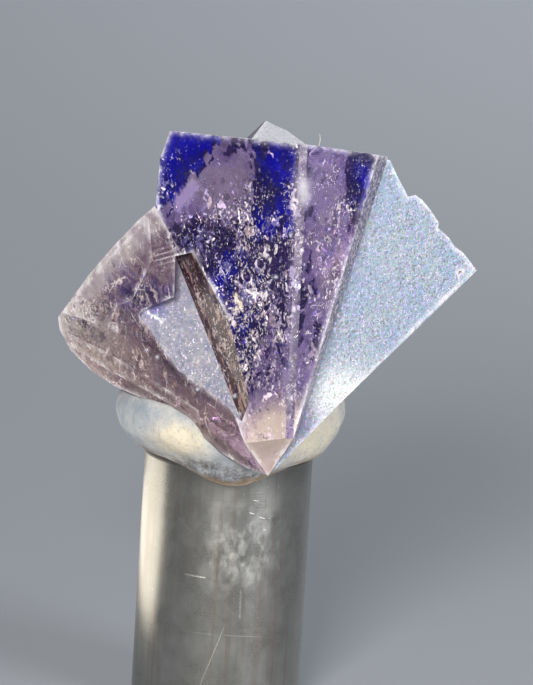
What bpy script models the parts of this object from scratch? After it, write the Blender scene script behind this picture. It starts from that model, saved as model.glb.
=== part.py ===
"""Fluorite octahedron group on a round metal rod, held by a lump of mounting putty.

Frame: metres, +Z up, +X to the viewer's right, the viewer on the -Y side.
Origin: centre of the rod's flat foot.
The crystals are described in the group's own frame, which faces the viewer along -Y.
"""

from math import atan2, cos, exp, pi, radians, sin, sqrt

import bmesh
import bpy
from mathutils import Euler, Matrix, Vector

MM = 0.001

# Driving dimensions in millimetres, angles in degrees
ROD_DIAMETER = 8.0
ROD_HEIGHT = 12.4
ROD_CHAMFER = 0.25
ROD_SIDES = 96

HOST_HALF_AXIS = 10.1
HOST_TURN_DEGREES = (-32.2, -6.3, -10.4)
TWIN_HALF_AXIS = 6.2
TWIN_CENTRE = (-0.2, 3.7, 0.9)
TWIN_TURN_DEGREES = 60.0
GROUP_CENTRE = (1.39, -0.67, 20.04)
GROUP_LEAN_DEGREES = 13.0
GROUP_ROLL_DEGREES = 3.4

WING_DEPTH = 2.4
GROWTH_STEP = 0.08
NOTCH_REACH = 14.0

PUTTY_HEIGHT = 3.2
PUTTY_SWELL_HEIGHT = 2.4
PUTTY_DROOP = 0.95
PUTTY_DROOP_WIDTH = 0.45
PUTTY_DROOP_ANGLE = -pi / 2 + 0.05
PUTTY_DROOP_SWELL = 0.45
PUTTY_FULLER_LEFT = 0.22
PUTTY_LUMP = 0.05
PUTTY_SEGMENTS = 56
CLEARANCE = 0.2
CLEARANCE_GROWTH = 1.035

HOST_TURN = Euler([radians(angle) for angle in HOST_TURN_DEGREES], "XYZ").to_matrix()
FACE_DISTANCE = HOST_HALF_AXIS / sqrt(3.0)
OCTAHEDRON = [(1, 0, 0), (-1, 0, 0), (0, 1, 0), (0, -1, 0), (0, 0, 1), (0, 0, -1)]


def host_direction(x, y, z):
    """Unit direction given along the host octahedron's three axes."""
    return (HOST_TURN @ Vector((x, y, z))).normalized()


# The two octahedron faces that the viewer sees: outward direction and distance from the centre
LEFT_FACE = (host_direction(-1, -1, -1), FACE_DISTANCE)
RIGHT_FACE = (host_direction(1, -1, -1), FACE_DISTANCE)

# Corners of the blue block that leans on the host's front, as (x, y, z)
BLOCK_TOP_LEFT = (-4.57, -5.51, 7.62)
BLOCK_SHOULDER = (-5.04, -5.11, 6.30)
BLOCK_LEFT = (-5.23, -4.78, 4.21)
BLOCK_RIDGE_TOP = (1.68, -9.00, 6.91)
BLOCK_RIDGE_FOOT = (1.02, -7.20, -6.77)
BLOCK_BAND_TOP = (5.18, -6.77, 6.46)
BLOCK_TOP_RIGHT = (5.68, -4.59, 6.41)
BLOCK_RIGHT_FOOT = (1.40, -4.97, -6.77)
BLOCK_LEFT_FOOT = (-1.07, -5.98, -7.01)
BLOCK_TIP = (0.02, -5.52, -8.55)
BLOCK_BACK = [
    (-4.64, -0.25, 7.64),
    (-5.09, 0.00, 6.30),
    (-5.20, -0.95, 4.35),
    (1.66, 0.25, 6.90),
    (5.30, -0.95, 6.46),
    (-3.30, -1.40, -1.90),
    (3.30, -1.40, -1.90),
]
RIDGE_HALF_WIDTH = 0.19


def plane_through(first, second, third):
    """Outward direction and distance of the plane through three corners, facing the viewer."""
    first, second, third = Vector(first), Vector(second), Vector(third)
    normal = (second - first).cross(third - first).normalized()
    if normal.y > 0:
        normal.negate()
    return normal, normal.dot(first)


BLUE_FACE = plane_through(BLOCK_LEFT, BLOCK_RIDGE_TOP, BLOCK_RIDGE_FOOT)
MAUVE_FACE = plane_through(BLOCK_BAND_TOP, BLOCK_RIDGE_TOP, BLOCK_RIDGE_FOOT)


def on_face(face, x, z, lift=0.0):
    """Point of a face that the viewer sees at x, z, raised along the face's outward direction."""
    normal, distance = face
    return Vector((x, (distance + lift - normal.x * x - normal.z * z) / normal.y, z))


def clear_scene():
    for old in list(bpy.data.objects):
        bpy.data.objects.remove(old, do_unlink=True)


def principled(name, colour, roughness, metallic, transmission=0.0):
    material = bpy.data.materials.new(name)
    material.use_nodes = True
    shader = material.node_tree.nodes["Principled BSDF"]
    shader.inputs["Base Color"].default_value = (*colour, 1.0)
    shader.inputs["Roughness"].default_value = roughness
    shader.inputs["Metallic"].default_value = metallic
    shader.inputs["Transmission Weight"].default_value = transmission
    return material


def make_object(name, bm, parent=None, material=None):
    """Object from a bmesh drawn in millimetres, its faces turned outwards."""
    bmesh.ops.scale(bm, vec=(MM, MM, MM), verts=bm.verts)
    bmesh.ops.recalc_face_normals(bm, faces=bm.faces)
    mesh = bpy.data.meshes.new(name)
    bm.to_mesh(mesh)
    bm.free()
    made = bpy.data.objects.new(name, mesh)
    bpy.context.scene.collection.objects.link(made)
    made.parent = parent
    if material is not None:
        mesh.materials.append(material)
    return made


def as_tool(made):
    """Marks a solid that only shapes another one."""
    made.hide_render = True
    made.display_type = "WIRE"
    return made


def combine(target, tool, operation):
    """Adds a Boolean modifier that unites the tool with the target or cuts it away."""
    boolean = target.modifiers.new(f"{operation.lower()} {tool.name}", "BOOLEAN")
    boolean.operation = operation
    boolean.solver = "EXACT"
    boolean.object = tool


def hull(name, corners, parent=None, material=None):
    """Convex solid with the given corners, its flat faces whole."""
    bm = bmesh.new()
    for corner in corners:
        bm.verts.new(corner)
    made = bmesh.ops.convex_hull(bm, input=bm.verts)
    inside = [item for item in made["geom_interior"] if isinstance(item, bmesh.types.BMVert)]
    bmesh.ops.delete(bm, geom=inside, context="VERTS")
    bmesh.ops.dissolve_limit(bm, angle_limit=radians(0.3), verts=bm.verts, edges=bm.edges)
    return make_object(name, bm, parent, material)


def prism(name, near, far, far_faces, parent):
    """Closed solid between two rings of corners, the far end closed by the given faces."""
    bm = bmesh.new()
    near_ring = [bm.verts.new(corner) for corner in near]
    far_ring = [bm.verts.new(corner) for corner in far]
    count = len(near_ring)
    bm.faces.new(near_ring)
    for face in far_faces:
        bm.faces.new([far_ring[index] for index in reversed(face)])
    for index in range(count):
        after = (index + 1) % count
        bm.faces.new((near_ring[after], near_ring[index], far_ring[index], far_ring[after]))
    return make_object(name, bm, parent)


def plate(name, outline, face, lift, depth, parent):
    """Growth plate: its front lies on a crystal face, lifted a little, and its body goes back."""
    near = [on_face(face, x, z, lift) for x, z in outline]
    far = [corner + Vector((0.0, depth, 0.0)) for corner in near]
    return as_tool(prism(name, near, far, [range(len(outline))], parent))


def octahedron_corners(half_axis, turn, centre=(0.0, 0.0, 0.0)):
    return [Vector(centre) + turn @ (half_axis * Vector(axis)) for axis in OCTAHEDRON]


def make_group_seat():
    """Empty at the host's centre, leaning back and rolled as the group sits in the putty."""
    seat = bpy.data.objects.new("group_seat", None)
    bpy.context.scene.collection.objects.link(seat)
    seat.location = Vector(GROUP_CENTRE) * MM
    seat.rotation_mode = "YXZ"
    seat.rotation_euler = (radians(-GROUP_LEAN_DEGREES), radians(-GROUP_ROLL_DEGREES), 0.0)
    return seat


def make_left_wing(seat, spare):
    """The host's left front face, grown past its edges, with two raised growth ledges."""
    outline = [
        (-9.95, -1.10), (-9.87, -1.70), (-9.35, -2.65), (-8.40, -3.60), (-7.24, -4.36), (-5.28, -5.21),
        (-4.09, -6.01), (-2.91, -6.79), (-2.15, -7.50), (-0.97, -8.19), (-0.15, -8.45), (-2.50, -2.20),
        (-4.90, 4.25), (-5.04, 4.31), (-6.06, 3.46), (-7.24, 2.27), (-8.41, 0.95),
    ]
    upper_ledge = [
        (-9.75, -0.88), (-8.33, 0.83), (-7.10, 2.12), (-5.56, 3.62), (-5.40, 1.60), (-6.35, -0.28),
        (-7.10, -0.60), (-7.55, -1.75), (-8.59, -1.23),
    ]
    lower_ledge = [
        (-9.54, -1.80), (-7.46, -2.84), (-5.56, -3.98), (-3.20, -5.49), (-3.38, -5.96), (-5.75, -4.54),
        (-7.55, -3.60), (-9.16, -2.56),
    ]
    return [
        plate("left_wing", outline, LEFT_FACE, GROWTH_STEP, WING_DEPTH + spare, seat),
        plate("upper_ledge", upper_ledge, LEFT_FACE, 2.2 * GROWTH_STEP, WING_DEPTH / 2, seat),
        plate("lower_ledge", lower_ledge, LEFT_FACE, 1.8 * GROWTH_STEP, WING_DEPTH / 2, seat),
    ]


def make_right_wing(seat, spare):
    """The host's right front face, grown up past the block in notched steps."""
    outline = [
        (5.30, 6.30), (5.75, 6.25), (6.13, 5.44), (6.49, 4.78), (6.58, 4.54), (6.94, 4.64), (7.27, 4.40),
        (7.67, 3.93), (8.07, 3.33), (8.02, 3.10), (8.53, 2.65), (8.80, 2.24), (9.21, 1.94), (9.48, 1.61),
        (9.80, 1.20), (9.55, 0.90), (3.60, -4.95), (0.36, -8.25), (0.70, -6.60), (3.00, 0.0),
    ]
    return plate("right_wing", outline, RIGHT_FACE, GROWTH_STEP, WING_DEPTH + spare, seat)


def make_block(seat):
    """The blue block: a second individual with a flat cleaved top and a narrow flat ridge."""
    left_of_ridge = Vector((RIDGE_HALF_WIDTH, 0.0, 0.0))
    ridge_top, ridge_foot = Vector(BLOCK_RIDGE_TOP), Vector(BLOCK_RIDGE_FOOT)
    ridge = []
    for corner in (ridge_top, ridge_foot):
        for face, shift in ((BLUE_FACE, -RIDGE_HALF_WIDTH), (MAUVE_FACE, RIDGE_HALF_WIDTH)):
            ridge.append(on_face(face, corner.x + shift, corner.z))
    corners = [
        BLOCK_TOP_LEFT, BLOCK_SHOULDER, BLOCK_LEFT, BLOCK_BAND_TOP, BLOCK_TOP_RIGHT,
        BLOCK_RIGHT_FOOT, BLOCK_LEFT_FOOT, BLOCK_TIP,
    ]
    return as_tool(hull("blue_block", corners + ridge + BLOCK_BACK, seat))


def make_front_cut(seat):
    """Takes off the host's front point where the blue block covers it."""
    outline = [(-5.35, 4.20), (-2.80, 7.00), (0.90, 6.60), (0.90, -4.60), (-1.10, -4.60), (-1.75, -2.20)]
    far = [on_face(BLUE_FACE, x, z, -GROWTH_STEP) for x, z in outline]
    near = [corner - Vector((0.0, NOTCH_REACH, 0.0)) for corner in far]
    return as_tool(prism("front_cut", near, far, [range(len(outline))], seat))


def make_notch(seat):
    """The re-entrant notch between left wing and block: a flat floor and the block's side."""
    floor = plane_through((-4.33, -2.90, 1.75), (-6.04, -1.90, -1.04), (-1.21, -4.90, -6.01))
    floor_outline = [
        (-4.33, 1.75), (-4.38, -0.14), (-5.85, -0.76), (-6.04, -1.04),
        (-4.95, -2.56), (-4.14, -3.65), (-2.25, -4.97), (-1.21, -6.01),
    ]
    side_outline = [(-0.83, -5.02), (-1.82, -1.18), (-3.48, 1.94)]
    far = [on_face(floor, x, z) for x, z in floor_outline]
    far += [on_face(BLUE_FACE, x, z) for x, z in side_outline]
    near = [corner - Vector((0.0, NOTCH_REACH, 0.0)) for corner in far]
    foot = len(floor_outline) - 1
    far_faces = [
        range(len(floor_outline)), (0, foot, foot + 1), (0, foot + 1, foot + 2), (0, foot + 2, foot + 3),
    ]
    return as_tool(prism("notch", near, far, far_faces, seat))


def make_chips(seat):
    """Small breaks: the blunt rear point, two pits in the left wing and one by the right corner."""
    rear = octahedron_corners(HOST_HALF_AXIS, HOST_TURN)[4]
    chips = [hull("rear_point_break", [
        rear + Vector(offset) for offset in (
            (-0.60, -1.5, -0.05), (0.85, -1.5, -0.70), (0.85, 1.5, -0.55), (-0.60, 1.5, 0.10),
            (-0.60, -1.5, 1.2), (0.85, -1.5, 1.2), (0.85, 1.5, 1.2), (-0.60, 1.5, 1.2),
        )
    ], seat)]
    pits = [
        ("pit_upper", LEFT_FACE, (-8.72, -1.25), (-8.12, -1.62), (-8.35, -1.15)),
        ("pit_lower", LEFT_FACE, (-7.65, -1.62), (-7.15, -2.02), (-7.32, -1.60)),
        ("pit_right", RIGHT_FACE, (9.02, 0.72), (9.45, 1.05), (9.15, 1.15)),
    ]
    for name, face, *corners in pits:
        rim = [on_face(face, x, z, 5.0 * GROWTH_STEP) for x, z in corners]
        centre = sum(rim, Vector()) / len(rim)
        chips.append(hull(name, rim + [centre - 8.0 * GROWTH_STEP * face[0]], seat))
    return [as_tool(chip) for chip in chips]


def make_twin(seat):
    """A smaller octahedron at the back, turned about the axis that fluorite twins share."""
    turn = HOST_TURN @ Matrix.Rotation(radians(TWIN_TURN_DEGREES), 3, Vector((1, 1, 1)))
    return as_tool(hull("rear_twin", octahedron_corners(TWIN_HALF_AXIS, turn, TWIN_CENTRE), seat))


def make_crystals(seat, material, spare=0.0):
    """All the crystals of the group, grown together into one solid; spare thickens the wings."""
    crystals = hull("fluorite_crystals", octahedron_corners(HOST_HALF_AXIS, HOST_TURN), seat, material)
    for piece in make_left_wing(seat, spare):
        combine(crystals, piece, "UNION")
    combine(crystals, make_front_cut(seat), "DIFFERENCE")
    combine(crystals, make_block(seat), "UNION")
    combine(crystals, make_notch(seat), "DIFFERENCE")
    combine(crystals, make_right_wing(seat, spare), "UNION")
    combine(crystals, make_twin(seat), "UNION")
    for chip in make_chips(seat):
        combine(crystals, chip, "DIFFERENCE")
    return crystals


def make_rod(name, material, growth=0.0):
    """Round rod standing on its foot, with a small chamfer at both ends."""
    bm = bmesh.new()
    radius = ROD_DIAMETER / 2 + growth
    height = ROD_HEIGHT + growth
    bmesh.ops.create_cone(
        bm, cap_ends=True, segments=ROD_SIDES, radius1=radius, radius2=radius, depth=height,
        matrix=Matrix.Translation((0.0, 0.0, height / 2)),
    )
    rims = [edge for edge in bm.edges if abs(edge.verts[0].co.z - edge.verts[1].co.z) < 0.5 * height]
    bmesh.ops.bevel(bm, geom=rims, offset=ROD_CHAMFER, segments=1, affect="EDGES")
    return make_object(name, bm, None, material)


def putty_point(ring_radius, ring_height, angle):
    """Point of the putty's skin: round, fuller on the left, and drooping under the group's tip."""
    turned = angle - PUTTY_DROOP_ANGLE
    from_tip = atan2(sin(turned), cos(turned)) / PUTTY_DROOP_WIDTH
    droop = exp(-from_tip * from_tip) * max(0.0, 1.0 - ring_height / PUTTY_HEIGHT)
    waves = sin(3.0 * angle + 0.7) + 0.8 * sin(5.0 * angle + 2.1) + 0.6 * sin(8.0 * angle + ring_height)
    lumps = PUTTY_LUMP * waves
    fuller = -PUTTY_FULLER_LEFT * cos(angle) * max(0.0, sin(pi * ring_height / PUTTY_SWELL_HEIGHT))
    share = min(1.0, ring_radius / ROD_DIAMETER)
    radius = ring_radius + (fuller + PUTTY_DROOP_SWELL * droop + lumps) * share
    height = ROD_HEIGHT + ring_height - PUTTY_DROOP * droop + 0.5 * lumps * share
    return radius * cos(angle), radius * sin(angle), height


def make_putty(material, crystals, rod_tool):
    """The putty: pressed on the rod's top, squeezed out past its rim, the crystals sunk in it."""
    rings = [
        (2.50, 0.05), (4.30, 0.05), (4.62, 0.22), (4.90, 0.55), (5.18, 0.95), (5.36, 1.40),
        (5.42, 1.85), (5.34, 2.30), (5.00, 2.75), (4.30, 3.05), (3.20, PUTTY_HEIGHT),
        (1.60, PUTTY_HEIGHT + 0.1),
    ]
    angles = [2.0 * pi * step / PUTTY_SEGMENTS for step in range(PUTTY_SEGMENTS)]
    bm = bmesh.new()
    bottom = bm.verts.new((0.0, 0.0, ROD_HEIGHT))
    top = bm.verts.new((0.0, 0.0, ROD_HEIGHT + PUTTY_HEIGHT))
    grid = [
        [bm.verts.new(putty_point(radius, height, angle)) for angle in angles] for radius, height in rings
    ]
    for step in range(PUTTY_SEGMENTS):
        after = (step + 1) % PUTTY_SEGMENTS
        bm.faces.new((bottom, grid[0][after], grid[0][step]))
        bm.faces.new((top, grid[-1][step], grid[-1][after]))
        for lower, upper in zip(grid, grid[1:]):
            bm.faces.new((lower[step], lower[after], upper[after], upper[step]))
    putty = make_object("mounting_putty", bm, None, material)
    putty.data.shade_smooth()
    combine(putty, rod_tool, "DIFFERENCE")
    combine(putty, crystals, "DIFFERENCE")
    return putty


def build():
    clear_scene()
    fluorite = principled("violet fluorite", (0.34, 0.27, 0.62), 0.08, 0.0, 0.6)
    putty_white = principled("white putty", (0.72, 0.75, 0.80), 0.55, 0.0)
    satin_steel = principled("satin steel", (0.45, 0.44, 0.41), 0.38, 1.0)

    seat = make_group_seat()
    make_crystals(seat, fluorite)

    spaced_seat = make_group_seat()
    spaced_seat.name = "spaced_group_seat"
    spaced_seat.scale = (CLEARANCE_GROWTH, CLEARANCE_GROWTH, CLEARANCE_GROWTH)
    spaced_crystals = as_tool(make_crystals(spaced_seat, fluorite, 2.0 * CLEARANCE))
    spaced_crystals.name = "spaced_crystals"

    rod = make_rod("metal_rod", satin_steel)
    rod.data.shade_smooth()
    rod.data.set_sharp_from_angle(angle=radians(30.0))
    make_putty(putty_white, spaced_crystals, as_tool(make_rod("spaced_rod", None, CLEARANCE)))


build()
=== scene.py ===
from math import cos, pi, radians, sin, sqrt

import bmesh
import bpy
import numpy as np
from mathutils import Euler, Matrix, Vector
from mathutils.geometry import delaunay_2d_cdt


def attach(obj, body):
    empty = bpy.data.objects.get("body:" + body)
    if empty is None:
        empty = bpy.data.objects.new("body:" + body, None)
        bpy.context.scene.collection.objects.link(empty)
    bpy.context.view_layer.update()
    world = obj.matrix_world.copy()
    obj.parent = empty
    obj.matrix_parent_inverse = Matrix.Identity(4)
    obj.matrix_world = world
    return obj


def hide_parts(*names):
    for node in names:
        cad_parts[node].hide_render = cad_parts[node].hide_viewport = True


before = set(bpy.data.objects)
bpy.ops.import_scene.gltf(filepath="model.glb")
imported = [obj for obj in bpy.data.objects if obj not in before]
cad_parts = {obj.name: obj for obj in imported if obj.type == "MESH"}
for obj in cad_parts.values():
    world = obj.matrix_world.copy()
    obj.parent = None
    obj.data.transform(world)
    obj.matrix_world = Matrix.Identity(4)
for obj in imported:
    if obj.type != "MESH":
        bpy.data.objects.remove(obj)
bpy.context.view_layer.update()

MM = 0.001


# The rod: a short length of satin metal bar, turned and parted off, with a small chamfer at each
# end. It stands on its foot and carries everything else. Handling has left scuffs and hairlines.
rod_radius = 4.0
rod_height = 12.4


def placed(name, data):
    """Object for a mesh, a lamp or a camera, put in the scene."""
    made = bpy.data.objects.new(name, data)
    bpy.context.scene.collection.objects.link(made)
    return made


def grid_mesh(name, rows, first_pole, last_pole):
    """Closed skin from rows of points, each row a ring, the first and last ring drawn to a pole."""
    count, around = rows.shape[:2]
    points = np.vstack([rows.reshape(-1, 3), [first_pole], [last_pole]]) * MM
    row, step = np.meshgrid(np.arange(count - 1), np.arange(around), indexing="ij")
    here = row * around + step
    side = row * around + (step + 1) % around
    quads = np.stack([here, side, side + around, here + around], axis=-1).reshape(-1, 4)
    ring = np.arange(around)
    after = (ring + 1) % around
    last = (count - 1) * around
    foot = np.stack([np.full(around, count * around), after, ring], axis=-1)
    head = np.stack([np.full(around, count * around + 1), last + ring, last + after], axis=-1)
    mesh = bpy.data.meshes.new(name)
    mesh.from_pydata(points.tolist(), [], quads.tolist() + foot.tolist() + head.tolist())
    mesh.validate()
    mesh.shade_smooth()
    return placed(name, mesh)


def rod_skin(profile, around):
    """The profile (radius, height) turned about the axis, less a few shallow dents.

    A dent lowers the radius by its depth times a bell curve of angle and height."""
    angle = np.linspace(0.0, 2.0 * pi, around, endpoint=False)[None, :]
    radius = profile[:, :1] * np.ones_like(angle)
    height = profile[:, 1:] * np.ones_like(angle)
    for turn, up, wide, tall, deep in (
        (-1.45, 8.2, 0.05, 0.20, 0.035), (-1.30, 7.7, 0.035, 0.12, 0.030), (-1.52, 6.6, 0.04, 0.16, 0.025),
        (-0.90, 9.6, 0.06, 0.10, 0.030), (-2.30, 4.4, 0.05, 0.30, 0.020), (0.80, 6.0, 0.08, 0.20, 0.030),
        (2.20, 9.0, 0.06, 0.25, 0.030), (1.70, 3.0, 0.05, 0.15, 0.035),
    ):
        across = (angle - turn + pi) % (2.0 * pi) - pi
        bell = np.exp(-((across / wide) ** 2) - ((height - up) / tall) ** 2)
        radius = radius - deep * bell
    return np.stack([radius * np.cos(angle), radius * np.sin(angle), height], axis=-1)


rod_profile = np.array(
    [(2.0, 0.0), (3.7, 0.0), (3.752, 0.004), (3.99, 0.235), (4.0, 0.26)]
    + [(rod_radius, z) for z in np.linspace(0.4, 12.0, 92)]
    + [(4.0, 12.14), (3.99, 12.165), (3.752, 12.396), (3.7, 12.4), (2.0, 12.4)]
)
rod = grid_mesh("rod_bar", rod_skin(rod_profile, 240), (0.0, 0.0, 0.0), (0.0, 0.0, rod_height))
rod.data.set_sharp_from_angle(angle=radians(30.0))


def new_finish(name):
    """Material with a plain tree: returns it, its tree and its shader node."""
    finish = bpy.data.materials.new(name)
    finish.use_nodes = True
    return finish, finish.node_tree, finish.node_tree.nodes["Principled BSDF"]


def add(tree, kind, wires=(), **values):
    """One node of a tree: its settings by name, its plain inputs and its wires by socket."""
    node = tree.nodes.new("ShaderNode" + kind)
    for key, value in values.items():
        setattr(node, key, value)
    for socket, value in dict(wires).items():
        if hasattr(value, "is_output"):
            tree.links.new(value, node.inputs[socket])
        else:
            node.inputs[socket].default_value = value
    return node


def tree_of(*values):
    """The node tree that holds the first socket among the values."""
    return next(value.id_data for value in values if hasattr(value, "is_output"))


def ramp(source, stops):
    """Colour or grey chosen by a value, through stops given as (place, colour)."""
    node = add(tree_of(source), "ValToRGB", {0: source})
    band = node.color_ramp
    while len(band.elements) < len(stops):
        band.elements.new(0.5)
    for element, (place, colour) in zip(band.elements, stops):
        element.position = place
        element.color = colour if len(colour) == 4 else (*colour, 1.0)
    return node.outputs["Color"]


def grey(level):
    """Grey as a colour."""
    return (level, level, level)


def sums(operation, first, second, clamp=False):
    """One step of arithmetic between two values."""
    tree = tree_of(first, second)
    return add(tree, "Math", {0: first, 1: second}, operation=operation, use_clamp=clamp).outputs[0]


def blend_colour(share, first, second, way="MIX"):
    """Two colours mixed by a share."""
    first, second = (value if hasattr(value, "is_output") else (*value, 1.0) for value in (first, second))
    wires = {0: share, 6: first, 7: second}
    return add(tree_of(share, first, second), "Mix", wires, data_type="RGBA", blend_type=way).outputs[2]


def layered(body, *layers):
    """A colour with further ones laid over it in turn, each given as (share, colour)."""
    for share, colour in layers:
        body = blend_colour(share, body, colour)
    return body


def total(first, *others):
    """All the values added together."""
    for other in others:
        first = sums("ADD", first, other)
    return first


def times(first, *others):
    """All the values multiplied together."""
    for other in others:
        first = sums("MULTIPLY", first, other)
    return first


def weighted(*pairs):
    """Values times their weights, added together."""
    return total(*(times(value, weight) for value, weight in pairs))


def about(value, weight):
    """A pattern value from 0 to 1, taken about its middle and weighted."""
    return times(sums("SUBTRACT", value, 0.5), weight)


def between(value, low, high):
    """0 below low, 1 above high, and a straight slope between; falls instead where low is the higher."""
    return add(tree_of(value), "MapRange", {"Value": value, 1: low, 2: high}).outputs[0]


def spot(place, cx, cz, wide, tall, height=1.0):
    """A soft spot on the front: a bell curve of x and z about a place, as wide, tall and high as given."""
    x, z = place
    dx = sums("DIVIDE", sums("SUBTRACT", x, cx), wide)
    dz = sums("DIVIDE", sums("SUBTRACT", z, cz), tall)
    far = total(times(dx, dx), times(dz, dz))
    return times(sums("POWER", 2.718, times(far, -1.0)), height)


def spots(place, *rows):
    """Soft spots on the front added together, each given as (x, z, wide, tall, height)."""
    return total(*(spot(place, *row) for row in rows))


def greatest(first, *others):
    """The greatest of the values."""
    for other in others:
        first = sums("MAXIMUM", first, other)
    return first


def stroke(place, start, end, wide, ends=True):
    """1 along a straight line on the front from start to end, falling to 0 at wide from it."""
    x, z = place
    length = sqrt((end[0] - start[0]) ** 2 + (end[1] - start[1]) ** 2)
    ax, az = (end[0] - start[0]) / length, (end[1] - start[1]) / length
    off = total(times(x, -az), times(z, ax), az * start[0] - ax * start[1])
    line = between(sums("ABSOLUTE", off, 0.0), wide, 0.3 * wide)
    if not ends:
        return line
    run = total(times(x, ax), times(z, az), -(ax * start[0] + az * start[1]))
    run = sums("ABSOLUTE", total(run, -0.5 * length), 0.0)
    return times(line, between(run, 0.5 * length, 0.4 * length))


def in_millimetres(tree):
    """Object coordinates in millimetres."""
    place = add(tree, "TexCoord").outputs["Object"]
    return add(tree, "Mapping", {"Vector": place, "Scale": (1000.0, 1000.0, 1000.0)}).outputs[0]


def noise(place, scale, detail=4.0, stretch=(1.0, 1.0, 1.0), roughness=0.55):
    """Cloudy pattern from 0 to 1; stretch scales its three directions."""
    tree = tree_of(place)
    if stretch != (1.0, 1.0, 1.0):
        place = add(tree, "Mapping", {"Vector": place, "Scale": stretch}).outputs[0]
    wires = {"Vector": place, "Scale": scale, "Detail": detail, "Roughness": roughness}
    return add(tree, "TexNoise", wires).outputs["Fac"]


def voronoi(place, scale, **how):
    """Cells scattered in space: the outputs are the distance to a cell and a random colour for each."""
    return add(tree_of(place), "TexVoronoi", {"Vector": place, "Scale": scale}, **how).outputs


def channels(colour):
    """The three values in a colour."""
    return add(tree_of(colour), "SeparateColor", {0: colour}).outputs


def vector_step(operation, first, second=(0.0, 0.0, 0.0), scale=1.0):
    """One step of arithmetic between two vectors, or of a vector and a scale."""
    wires = {0: first, 1: second, 3: scale}
    return add(tree_of(first), "VectorMath", wires, operation=operation).outputs[0]


def bumped(height, strength, distance):
    """Surface direction bent by a height pattern; distance in metres."""
    wires = {"Height": height, "Strength": strength, "Distance": distance}
    return add(tree_of(height), "Bump", wires).outputs[0]


def wire_up(node, **inputs):
    """Sets or links a node's inputs, named as they are but with _ for a space."""
    for key, value in inputs.items():
        socket = node.inputs[key.replace("_", " ")]
        if hasattr(value, "is_output"):
            node.id_data.links.new(value, socket)
        else:
            socket.default_value = value


def satin_metal():
    """Satin bar: rings left by turning, cloudy handling haze, hairlines, nicks, faint smears and a painted
    shadow under the putty.
    """
    finish, tree, shader = new_finish("satin_bar_metal")
    place = in_millimetres(tree)
    x, y, z = add(tree, "SeparateXYZ", {0: place}).outputs
    front = between(y, 0.5, -0.5)
    turned = noise(place, 1.0, 3.0, (0.05, 0.05, 14.0))
    lengthwise = noise(place, 1.0, 3.0, (3.5, 3.5, 0.10))
    haze = noise(place, 0.45, 6.0, roughness=0.62)
    cloud = noise(place, 1.3, 6.0, (1.0, 1.0, 0.6), 0.68)
    grit = noise(place, 22.0, 2.0)
    metal = ramp(haze, [(0.25, (0.30, 0.285, 0.25)), (0.5, (0.38, 0.37, 0.34)), (0.75, (0.47, 0.455, 0.42))])
    film = times(between(cloud, 0.44, 0.66), front)
    film = times(film, total(spot((x, z), 0.9, 8.4, 1.7, 2.0, 0.85), 0.14))
    scratch = times(greatest(0.0, *(
        times(stroke((x, z), first, last, wide), strength) for first, last, wide, strength in (
            ((-1.75, 6.90), (-0.70, 6.87), 0.055, 0.9), ((0.2, 4.14), (2.2, 4.02), 0.03, 0.35),
            ((-2.6, 4.2), (0.1, 4.1), 0.02, 0.25), ((0.30, 4.6), (-0.85, 1.2), 0.022, 0.7),
            ((1.12, 10.14), (1.40, 10.06), 0.035, 0.8), ((1.30, 9.72), (1.22, 9.52), 0.025, 0.5),
            ((1.66, 9.90), (1.94, 9.80), 0.03, 0.8), ((1.80, 9.30), (1.98, 9.27), 0.03, 0.6),
            ((1.30, 10.75), (1.56, 10.68), 0.03, 0.6), ((0.96, 6.4), (0.99, 4.9), 0.07, 0.35),
            ((-2.2, 9.6), (-1.4, 8.9), 0.02, 0.4), ((2.3, 8.2), (2.9, 6.9), 0.02, 0.3),
        )
    )), front, between(grit, 0.34, 0.52))
    fleck = between(voronoi(place, 1.4)["Distance"], 0.055, 0.03)
    # painted shadow: the rod's front is darkened just under the putty, where the lump shades it
    painted_shadow_under_putty = times(spot((x, z), 0.9, 12.2, 3.4, 0.9, 0.75), front)
    edge = between(total(z, about(grit, 0.5)), 12.05, 12.2)
    body = layered(
        metal, (between(lengthwise, 0.52, 0.70), (0.36, 0.31, 0.27)), (film, (0.62, 0.60, 0.56)),
        (times(scratch, 0.75), (0.86, 0.84, 0.78)), (times(fleck, 0.8), (0.82, 0.80, 0.74)),
        (painted_shadow_under_putty, (0.10, 0.095, 0.085)), (times(edge, 0.5), (0.66, 0.64, 0.58)),
    )
    relief = weighted((turned, 0.5), (cloud, 0.5), (grit, 0.25), (scratch, -0.6))
    wire_up(
        shader, Base_Color=body, Metallic=1.0, Normal=bumped(relief, 0.30, 0.00003),
        Roughness=total(0.20, weighted((haze, 0.16), (film, 0.25), (scratch, 0.25))),
    )
    return finish


rod.data.materials.append(satin_metal())
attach(rod, "root")
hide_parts("metal_rod")


# The group's seat: where the crystals sit on the rod. The group is described in its own frame,
# whose x runs right, y away from the viewer and z up; it leans back by 13 and rolls by 3.4 degrees.
group_centre = Vector((1.39, -0.67, 20.04))
group_turn = Euler((radians(-13.0), radians(-3.4), 0.0), "YXZ").to_matrix()
turn_array = np.array(group_turn)


def to_group(points):
    """Points in millimetres, from the part's frame to the group's own."""
    return (points - np.array(group_centre)) @ turn_array


def from_group(points):
    """Points in millimetres, from the group's own frame to the part's."""
    return points @ turn_array.T + np.array(group_centre)


def merged_copy(node, name):
    """Working copy of a solid with its loose corners joined and its flat faces whole."""
    bm = bmesh.new()
    bm.from_mesh(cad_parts[node].data)
    bmesh.ops.remove_doubles(bm, verts=bm.verts, dist=2e-6)
    bmesh.ops.dissolve_limit(bm, angle_limit=radians(0.4), verts=bm.verts, edges=bm.edges)
    mesh = bpy.data.meshes.new(name)
    bm.to_mesh(mesh)
    bm.free()
    return mesh


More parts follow.
